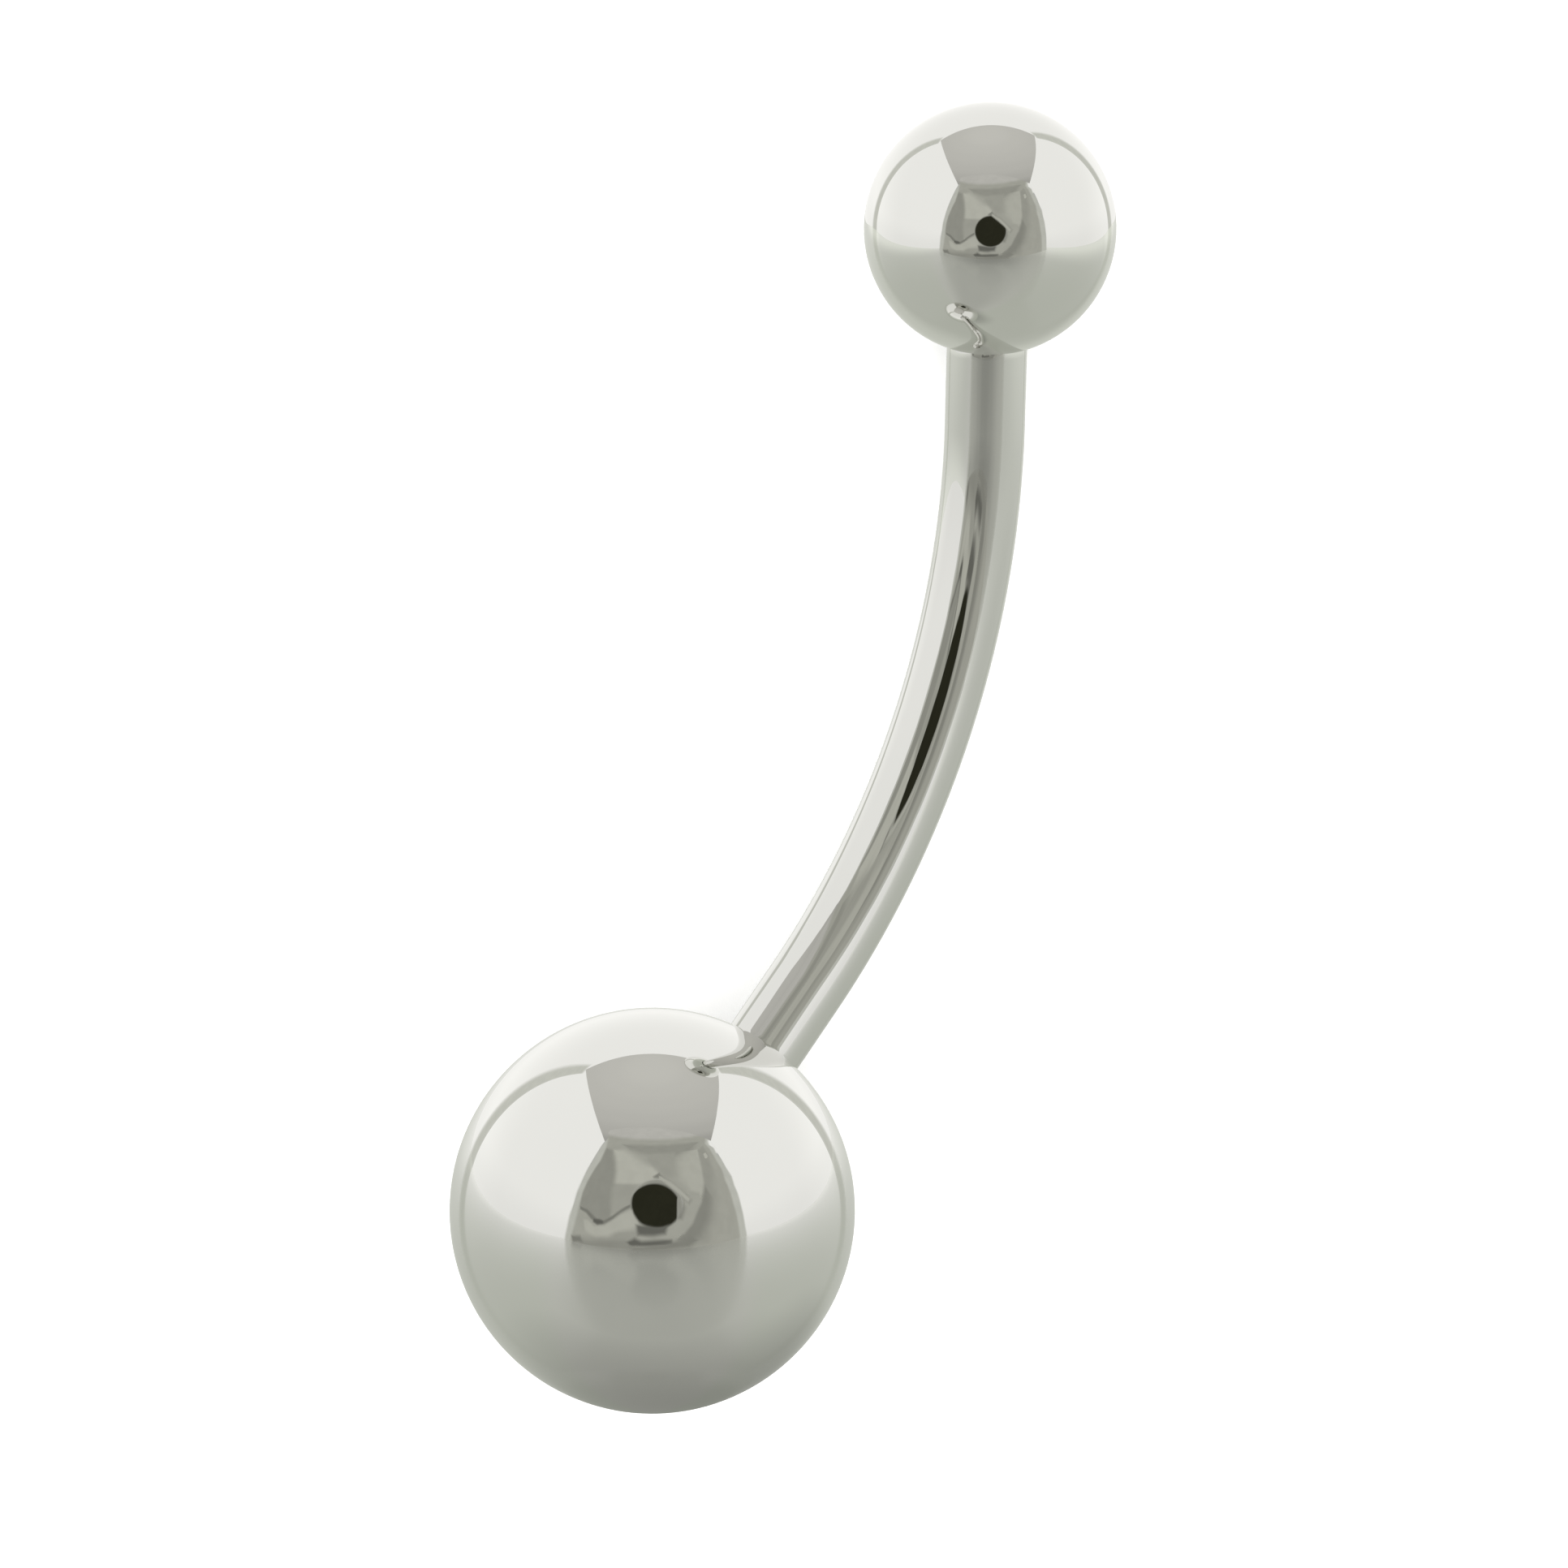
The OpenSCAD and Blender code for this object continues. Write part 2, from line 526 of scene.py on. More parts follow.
def makeSteel(name, attribute=None):
    look = steelLooks[name]
    material = bpy.data.materials.new(name)
    material.use_nodes = True
    tree = material.node_tree
    shader = tree.nodes["Principled BSDF"]
    shader.inputs["Metallic"].default_value = 1.0
    if attribute:
        place = addNode(tree, "ShaderNodeAttribute", attribute_name=attribute).outputs["Vector"]
    else:
        place = objectPlace(tree)
    polish = addNode(
        tree, "ShaderNodeGroup",
        {
            "Vector": place, "Haze Size": look["hazeSize"], "Hairline Size": look["hairlineSize"],
            "Stretch": look["stretch"],
        },
        node_tree=polishGroup,
    )
    colour = addNode(
        tree, "ShaderNodeMix",
        {0: polish.outputs["Tone"], 6: look["dull"], 7: look["bright"]}, data_type="RGBA",
    )
    tree.links.new(colour.outputs[2], shader.inputs["Base Color"])
    rough = addNode(
        tree, "ShaderNodeMapRange",
        {"Value": polish.outputs["Haze"], "To Min": look["rough"][0], "To Max": look["rough"][1]},
    )
    tree.links.new(rough.outputs["Result"], shader.inputs["Roughness"])
    bump = addNode(
        tree, "ShaderNodeBump",
        {"Height": polish.outputs["Height"], "Strength": 1.0, "Distance": look["relief"]},
    )
    tree.links.new(bump.outputs["Normal"], shader.inputs["Normal"])
    return material


barSteel = makeSteel("barSteel", "beforeBend")
ballSteel = makeSteel("ballSteel")
bar.data.materials.append(barSteel)
topBall.data.materials.append(ballSteel)
bottomBall.data.materials.append(ballSteel)
print("steel polished")

for piece, body, node, finish in (
    (bar, "bar", "curved_bar", "bar_steel"),
    (topBall, "top_ball", "top_ball", "ball_steel"),
    (bottomBall, "bottom_ball", "bottom_ball", "ball_steel"),
):
    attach(piece, body)
    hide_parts(node)


# Camera: straight above but for a few degrees, with the ring leaning across the picture

cameraSizes = {
    "distance": 134 * mm,  # from the middle of the large ball, along the line of sight
    "offUpright": 3.1,  # degrees that the line of sight leans from straight down
    "lean": 18.99,  # degrees that the ring leans to the right in the picture
    "side": 2.595 * mm,  # how far the line of sight passes beside the large ball, and above it
    "above": 8.405 * mm,
    "lens": 156.06,
    "sensor": 36,
    "near": 10 * mm,
    "far": 10,
}


def lookMatrix():
    sizes = cameraSizes
    tilt = math.radians(sizes["offUpright"])
    lean = math.radians(sizes["lean"])
    toward = Vector((math.sin(tilt), 0, math.cos(tilt)))
    chord = topCentre - bottomCentre
    upRing = (chord - toward * chord.dot(toward)).normalized()
    acrossRing = upRing.cross(toward)
    right = upRing * math.sin(lean) + acrossRing * math.cos(lean)
    up = upRing * math.cos(lean) - acrossRing * math.sin(lean)
    return axesMatrix(right, up, toward, bottomCentre)


look = lookMatrix()
lens = bpy.data.cameras.new("camera")
camera = bpy.data.objects.new("camera", lens)
bpy.context.scene.collection.objects.link(camera)
lens.sensor_width = cameraSizes["sensor"]
lens.lens = cameraSizes["lens"]
lens.clip_start = cameraSizes["near"]
lens.clip_end = cameraSizes["far"]
cameraAt = Vector((cameraSizes["side"], cameraSizes["above"], cameraSizes["distance"]))
camera.matrix_world = look @ Matrix.Translation(cameraAt)
bpy.context.scene.camera = camera
print("camera set")


# Light tent, built in the camera's directions round the large ball: right, up and towards the camera.
# Only reflections see it. Its places are in millimetres, and its tones are screen tones from 0 to 255.

tentCorners = {
    "frontLeftTop": (-69, 110, 109),
    "frontRightTop": (86, 105, 97),
    "frontLeftFoot": (-96, -34, 84),
    "frontRightFoot": (125, -42, 85),
    "backLeftTop": (-145, 299, -66),
    "backRightTop": (138, 297, -69),
    "backLeftFoot": (-154, 28, -147),
    "backRightFoot": (143, 20, -160),
}
tentSizes = {
    "floorSlope": 14.7,  # degrees that its floor rises away from the camera
    "floorDrop": 4.05,  # from the middle of the large ball down to the floor
    "lowerFloor": 6,  # a second floor so far below, for the large ball when it is screwed off
    "floorWidth": 200,  # half of it
    "floorFront": 130,
    "floorBack": -200,
    "gloss": 1.6,  # refraction of the glossy sheet on the floor
    "haze": 0.2,  # and its roughness
}
tentTones = {
    "wall": 231,
    "floor": 171,
    "seam": 190,
    "lensTube": 142,
    "lens": 38,
}
tentTints = {
    "cloth": (1.0, 0.994, 0.97, 1),
    "roof": (1.0, 0.985, 0.925, 1),
    "curtain": (1.0, 1.0, 0.89, 1),
    "edge": (0.99, 1.0, 0.915, 1),
    "floorSide": (0.965, 1.0, 0.886, 1),
    "floorFront": (0.986, 1.0, 0.912, 1),
    "glass": (1.0, 1.0, 0.62, 1),
}
steelShare = 0.84  # how much of the light the steel gives back
slope = math.radians(tentSizes["floorSlope"])
floorUp = Vector((0, math.cos(slope), math.sin(slope)))
smallBall = look.inverted() @ topCentre


def tentPoint(name):
    return Vector(tentCorners[name]) * mm


def showOnlyInReflections(item):
    item.visible_camera = False
    item.visible_diffuse = False
    item.visible_shadow = False
    item.visible_transmission = False
    item.visible_volume_scatter = False
    item.matrix_world = look


def hangSheet(name, corners, material):
    # a sheet with its corners given in turn round it
    deselectAll()
    bpy.ops.mesh.primitive_circle_add(vertices=len(corners), radius=mm, fill_type="NGON")
    sheet = bpy.context.object
    sheet.name = name
    for vertex, corner in zip(sheet.data.vertices, corners):
        vertex.co = corner
    sheet.data.update()
    sheet.data.materials.append(material)
    showOnlyInReflections(sheet)
    return sheet


def makeGlow(name):
    material = bpy.data.materials.new(name)
    material.use_nodes = True
    tree = material.node_tree
    tree.nodes.remove(tree.nodes["Principled BSDF"])
    glow = addNode(tree, "ShaderNodeEmission")
    tree.links.new(glow.outputs[0], tree.nodes["Material Output"].inputs["Surface"])
    return material, tree, glow


def directionFromBall(tree):
    direction = addNode(tree, "ShaderNodeVectorMath", {0: objectPlace(tree)}, operation="NORMALIZE")
    return addNode(tree, "ShaderNodeSeparateXYZ", {0: direction.outputs[0]}).outputs


def distanceFrom(tree, centre, reach):
    # distance from a centre, counted in the reach along each axis
    offset = addNode(tree, "ShaderNodeVectorMath", {0: objectPlace(tree), 1: centre}, operation="SUBTRACT")
    shares = addNode(tree, "ShaderNodeVectorMath", {0: offset.outputs[0], 1: reach}, operation="DIVIDE")
    return addNode(tree, "ShaderNodeVectorMath", {0: shares.outputs[0]}, operation="LENGTH").outputs["Value"]


def toneRamp(tree, value, stops):
    # stops are pairs of a place from 0 to 1 and a screen tone
    node = addNode(tree, "ShaderNodeValToRGB", {0: value})
    ramp = node.color_ramp
    ramp.interpolation = "EASE"
    while len(ramp.elements) < len(stops):
        ramp.elements.new(0.5)
    for element, (place, tone) in zip(ramp.elements, stops):
        element.position = place
        light = linear(tone) / steelShare
        element.color = (light, light, light, 1)
    return node.outputs["Color"]


def tintedLight(tone, tint):
    # the light that steel mirrors as that tone
    light = linear(tone) / steelShare
    return [light * share for share in tentTints[tint][:3]] + [1]


def clothCloud(tree, size, spread):
    # cloth is never quite evenly lit
    cloud = addNode(tree, "ShaderNodeTexNoise", {"Vector": objectPlace(tree), "Scale": size, "Detail": 2.0})
    return fade(tree, cloud.outputs["Fac"], 0.3, 0.7, 1 - spread, 1 + spread)


def tinted(tree, light, tint):
    node = addNode(
        tree, "ShaderNodeMix", {0: 1.0, 6: light, 7: tint}, data_type="RGBA", blend_type="MULTIPLY",
    )
    return node.outputs[2]


# painted light and shade on the tent walls
wallShades = {
    "behind": (0.0, -0.8),  # from the side to the back, where the walls are brighter low down
    "lowDown": (0.9, 0.25),
    "brighter": 0.13,  # and by how much
    "foot": (0.0, 35 * mm, 0.93, 1.0),  # height above the floor, and the share of light there
}
# painted light and shade on the roof: darker low down at its edges, brightest straight above the large ball
roofTones = (
    (0.0, 140), (0.62, 141), (0.66, 156), (0.72, 170), (0.82, 178), (0.9, 182), (0.96, 185), (1.0, 189),
)


def makeTentCloth():
    # white walls: painted shade a little darker at the foot, painted light brighter low down at the back
    material, tree, glow = makeGlow("tentCloth")
    direction = directionFromBall(tree)
    behind = fade(tree, direction["Z"], *wallShades["behind"])
    low = mathNode(tree, "MULTIPLY", behind, fade(tree, direction["Y"], *wallShades["lowDown"]))
    back = mathNode(tree, "MULTIPLY_ADD", low, wallShades["brighter"], 1.0)
    rise = addNode(tree, "ShaderNodeVectorMath", {0: objectPlace(tree), 1: floorUp}, operation="DOT_PRODUCT")
    height = mathNode(tree, "ADD", rise.outputs["Value"], tentSizes["floorDrop"] * mm)
    share = mathNode(tree, "MULTIPLY", back, fade(tree, height, *wallShades["foot"]))
    light = mathNode(tree, "MULTIPLY", share, linear(tentTones["wall"]) / steelShare)
    tree.links.new(tinted(tree, light, tentTints["cloth"]), glow.inputs["Color"])
    return material


def makeTentRoof():
    material, tree, glow = makeGlow("tentRoof")
    light = toneRamp(tree, directionFromBall(tree)["Y"], roofTones)
    tree.links.new(tinted(tree, light, tentTints["roof"]), glow.inputs["Color"])
    return material


floorSpots = {
    # middle to the side and ahead, reach to the side and ahead, and the share of light in the middle
    # painted shadows of the large ball on the floor
    "nearShadow": (-0.2, 1.3, 6.7, 4.8, 0.64),
    "sideShadow": (2.6, -1.1, 6.2, 4.0, 0.67),
    # painted shadow along the foot of the curtain
    "curtainFootShadow": (5, 74, 65, 50, 0.6),
}
floorFades = {
    # where it starts and ends, and the share of light there
    # painted shade towards the curtain in front, painted light far behind and near the side walls
    "front": (0.55, 1.0, 1.0, 0.87),
    "behind": (8 * mm, 24 * mm, 1.0, 1.17),
    "sideways": (55 * mm, 115 * mm, 1.0, 1.6),
    "tint": (0.4, 0.65),
    "gloss": (0.6, 0.9, 1.0, 0.76),
}
behindSlope = -0.6  # how fast the edge of the bright part behind runs back to the sides
anyHeight = 1000  # a reach so far that the height plays no part


def floorSpot(tree, name):
    side, depth, wide, deep, dark = floorSpots[name]
    away = distanceFrom(tree, (side * mm, 0, depth * mm), (wide * mm, anyHeight, deep * mm))
    return fade(tree, away, 0.0, 1.0, dark, 1.0)


def makeTentFloor():
    # a glossy sheet with painted shade: dark under the large ball and dim towards the curtain,
    # and painted light: bright far behind and near the side walls
    material, tree, glow = makeGlow("tentFloor")
    place = objectPlace(tree)
    parts = addNode(tree, "ShaderNodeSeparateXYZ", {0: place}).outputs
    level = addNode(tree, "ShaderNodeVectorMath", {0: place, 1: (1, 0, 1)}, operation="MULTIPLY")
    bearing = addNode(tree, "ShaderNodeVectorMath", {0: level.outputs[0]}, operation="NORMALIZE")
    ahead = addNode(tree, "ShaderNodeSeparateXYZ", {0: bearing.outputs[0]}).outputs["Z"]
    sideways = mathNode(tree, "ABSOLUTE", parts["X"])
    behind = mathNode(tree, "SUBTRACT", mathNode(tree, "MULTIPLY", sideways, behindSlope), parts["Z"])
    ballShadow = mathNode(tree, "MULTIPLY", floorSpot(tree, "nearShadow"), floorSpot(tree, "sideShadow"))
    shares = (
        mathNode(tree, "MINIMUM", ballShadow, fade(tree, ahead, *floorFades["front"])),
        fade(tree, behind, *floorFades["behind"]),
        floorSpot(tree, "curtainFootShadow"),
        fade(tree, sideways, *floorFades["sideways"]),
    )
    light = linear(tentTones["floor"]) / steelShare
    for share in shares:
        light = mathNode(tree, "MULTIPLY", share, light)
    tint = addNode(
        tree, "ShaderNodeMix",
        {
            0: fade(tree, ahead, *floorFades["tint"]),
            6: tentTints["floorSide"], 7: tentTints["floorFront"],
        },
        data_type="RGBA",
    )
    tree.links.new(tinted(tree, light, tint.outputs[2]), glow.inputs["Color"])
    mirror = addNode(tree, "ShaderNodeBsdfGlossy", {"Color": (1, 1, 1, 1), "Roughness": tentSizes["haze"]})
    grazing = addNode(tree, "ShaderNodeFresnel", {"IOR": tentSizes["gloss"]}).outputs[0]
    share = mathNode(tree, "MULTIPLY", grazing, fade(tree, ahead, *floorFades["gloss"]))
    sheet = addNode(tree, "ShaderNodeMixShader", {0: share, 1: glow.outputs[0], 2: mirror.outputs[0]})
    tree.links.new(sheet.outputs[0], tree.nodes["Material Output"].inputs["Surface"])
    return material


tentCloth = makeTentCloth()
for name, corners in (
    ("leftWall", ("frontLeftTop", "backLeftTop", "backLeftFoot", "frontLeftFoot")),
    ("rightWall", ("frontRightTop", "backRightTop", "backRightFoot", "frontRightFoot")),
    ("backWall", ("backLeftTop", "backRightTop", "backRightFoot", "backLeftFoot")),
):
    hangSheet(name, [tentPoint(corner) for corner in corners], tentCloth)
roofCorners = ("frontLeftTop", "frontRightTop", "backRightTop", "backLeftTop")
hangSheet("tentRoof", [tentPoint(corner) for corner in roofCorners], makeTentRoof())


def floorPoint(side, depth, lower):
    height = -(tentSizes["floorDrop"] + lower + depth * floorUp.z) / floorUp.y
    return Vector((side, height, depth)) * mm


tentFloor = makeTentFloor()
wide, front, back = tentSizes["floorWidth"], tentSizes["floorFront"], tentSizes["floorBack"]
for name, lower in (("tentFloor", 0), ("lowerFloor", tentSizes["lowerFloor"])):
    corners = ((-wide, back), (-wide, front), (wide, front), (wide, back))
    hangSheet(name, [floorPoint(side, depth, lower) for side, depth in corners], tentFloor)
print("tent hung")


# Front curtain with the lens through it. Points are in degrees to the right and up, as the large ball
# mirrors them.

lensSizes = {
    "turn": -0.026,  # from the small ball, how far to the side and up the lens stands for each mm ahead
    "rise": -0.1285,
    "spread": 0.2515,  # and its radius
    "flapSlope": 0.879,  # a flap of the curtain hides its upper right
    "flapRise": 0.15,
    "front": 80,
    "back": 105,
    "lean": 3.8,  # how much deeper the glass lies to the lower right
    "leanAt": 60,  # degrees below the level that it is deepest at
    "blur": 0.02,  # of the hole's edge
    "glassFrom": (0.35, 1.0),  # share of the tube's depth where the glass starts and is darkest
    "wider": 1.02,  # the tube, against the hole
    "around": 96,
}


def lensHole(tree):
    # 1 where the curtain lets the lens through, and 0 where it doesn't
    offset = addNode(
        tree, "ShaderNodeVectorMath", {0: objectPlace(tree), 1: smallBall}, operation="SUBTRACT",
    )
    side, up, ahead = addNode(tree, "ShaderNodeSeparateXYZ", {0: offset.outputs[0]}).outputs
    turn = mathNode(tree, "DIVIDE", side, ahead)
    rise = mathNode(tree, "DIVIDE", up, ahead)
    across = mathNode(tree, "SUBTRACT", turn, lensSizes["turn"])
    above = mathNode(tree, "SUBTRACT", rise, lensSizes["rise"])
    acrossSquared = mathNode(tree, "MULTIPLY", across, across)
    aboveSquared = mathNode(tree, "MULTIPLY", above, above)
    spread = mathNode(tree, "SQRT", mathNode(tree, "ADD", acrossSquared, aboveSquared))
    flap = mathNode(tree, "ADD", rise, mathNode(tree, "MULTIPLY", turn, lensSizes["flapSlope"]))
    rim, crest, blur = lensSizes["spread"], lensSizes["flapRise"], lensSizes["blur"]
    inside = fade(tree, spread, rim + blur, rim - blur)
    return mathNode(tree, "MULTIPLY", inside, fade(tree, flap, crest + blur, crest - blur))


def makeCurtainCloth(name, holed):
    # cloth patches of painted light and shade with soft edges, and with the lens hole where they are holed
    material, tree, glow = makeGlow(name)
    light = addNode(tree, "ShaderNodeAttribute", attribute_name="light").outputs["Color"]
    edge = addNode(tree, "ShaderNodeAttribute", attribute_name="cover").outputs["Fac"]
    cover = fade(tree, edge, 0.0, 1.0)
    if holed:
        cover = mathNode(tree, "MULTIPLY", cover, mathNode(tree, "SUBTRACT", 1.0, lensHole(tree)))
    tree.links.new(light, glow.inputs["Color"])
    tree.links.new(clothCloud(tree, 90.0, 0.025), glow.inputs["Strength"])
    clear = addNode(tree, "ShaderNodeBsdfTransparent")
    mix = addNode(tree, "ShaderNodeMixShader", {0: cover, 1: clear.outputs[0], 2: glow.outputs[0]})
    tree.links.new(mix.outputs[0], tree.nodes["Material Output"].inputs["Surface"])
    return material


def edgeMoved(outline, share):
    # the corners moved outwards by a share of how wide the edge fades there
    corners = [corner for corner, fading in outline]
    count = len(corners)
    middle = sum(corners, Vector()) / count
    normal = Vector()
    for index, corner in enumerate(corners):
        normal += (corners[index - 1] - middle).cross(corner - middle)
    moved = []
    for index, (corner, fading) in enumerate(outline):
        before = (corner - corners[index - 1]).normalized()
        after = (corners[(index + 1) % count] - corner).normalized()
        moved.append(corner + (before + after).cross(normal).normalized() * fading * share)
    return moved


patchSizes = {
    "inset": 0.02 * mm,  # as the inner outline is made, before its points move to their places
    "near": 0.001 * mm,  # closer than this to a corner, a point belongs to the outer outline
}


def hangPatch(name, outline, material, tone, tint):
    # a sheet that fades out at its edge; the outline pairs each corner with the width of the fade
    outer = edgeMoved(outline, 0.5)
    inner = edgeMoved(outline, -0.5)
    sheet = hangSheet(name, outer, material)
    makeActive(sheet)
    bpy.ops.object.mode_set(mode="EDIT")
    bpy.ops.mesh.select_all(action="SELECT")
    bpy.ops.mesh.inset(thickness=patchSizes["inset"], depth=0, use_even_offset=False)
    bpy.ops.object.mode_set(mode="OBJECT")
    attributes = sheet.data.attributes
    attributes.new("cover", "FLOAT", "POINT")
    attributes.new("light", "FLOAT_COLOR", "POINT")
    for index, vertex in enumerate(sheet.data.vertices):
        gaps = [(vertex.co - corner).length for corner in outer]
        nearest = gaps.index(min(gaps))
        onEdge = gaps[nearest] < patchSizes["near"]
        if not onEdge:
            vertex.co = inner[nearest]
        attributes["cover"].data[index].value = 0.0 if onEdge else 1.0
        attributes["light"].data[index].color = tintedLight(tone, tint)


holedCloth = makeCurtainCloth("curtainCloth", True)
foldCloth = makeCurtainCloth("foldCloth", False)

# painted shade: soft grey seams up the back corners of the tent, where the panels meet
seamSizes = {
    "nearer": 0.88,  # as a share of the way to the corner
    "halfWidth": 15 * mm,
    "fade": 20 * mm,
}
for name, top, foot in (
    ("leftSeam", "backLeftTop", "backLeftFoot"),
    ("rightSeam", "backRightTop", "backRightFoot"),
):
    topPoint = tentPoint(top) * seamSizes["nearer"]
    footPoint = tentPoint(foot) * seamSizes["nearer"]
    sideStep = topPoint.cross(footPoint).normalized() * seamSizes["halfWidth"]
    seamCorners = (topPoint - sideStep, topPoint + sideStep, footPoint + sideStep, footPoint - sideStep)
    seamOutline = [(corner, seamSizes["fade"]) for corner in seamCorners]
    hangPatch(name, seamOutline, foldCloth, tentTones["seam"], "edge")

curtainSizes = {
    "ahead": 74,  # from the middle of the large ball to the curtain at that level
    "lean": 0.2,  # how far it leans towards the camera for each mm up
    "step": 0.25,  # how far each patch hangs in front of the one before
    "degree": 1.3 * mm,  # width of one degree there
}

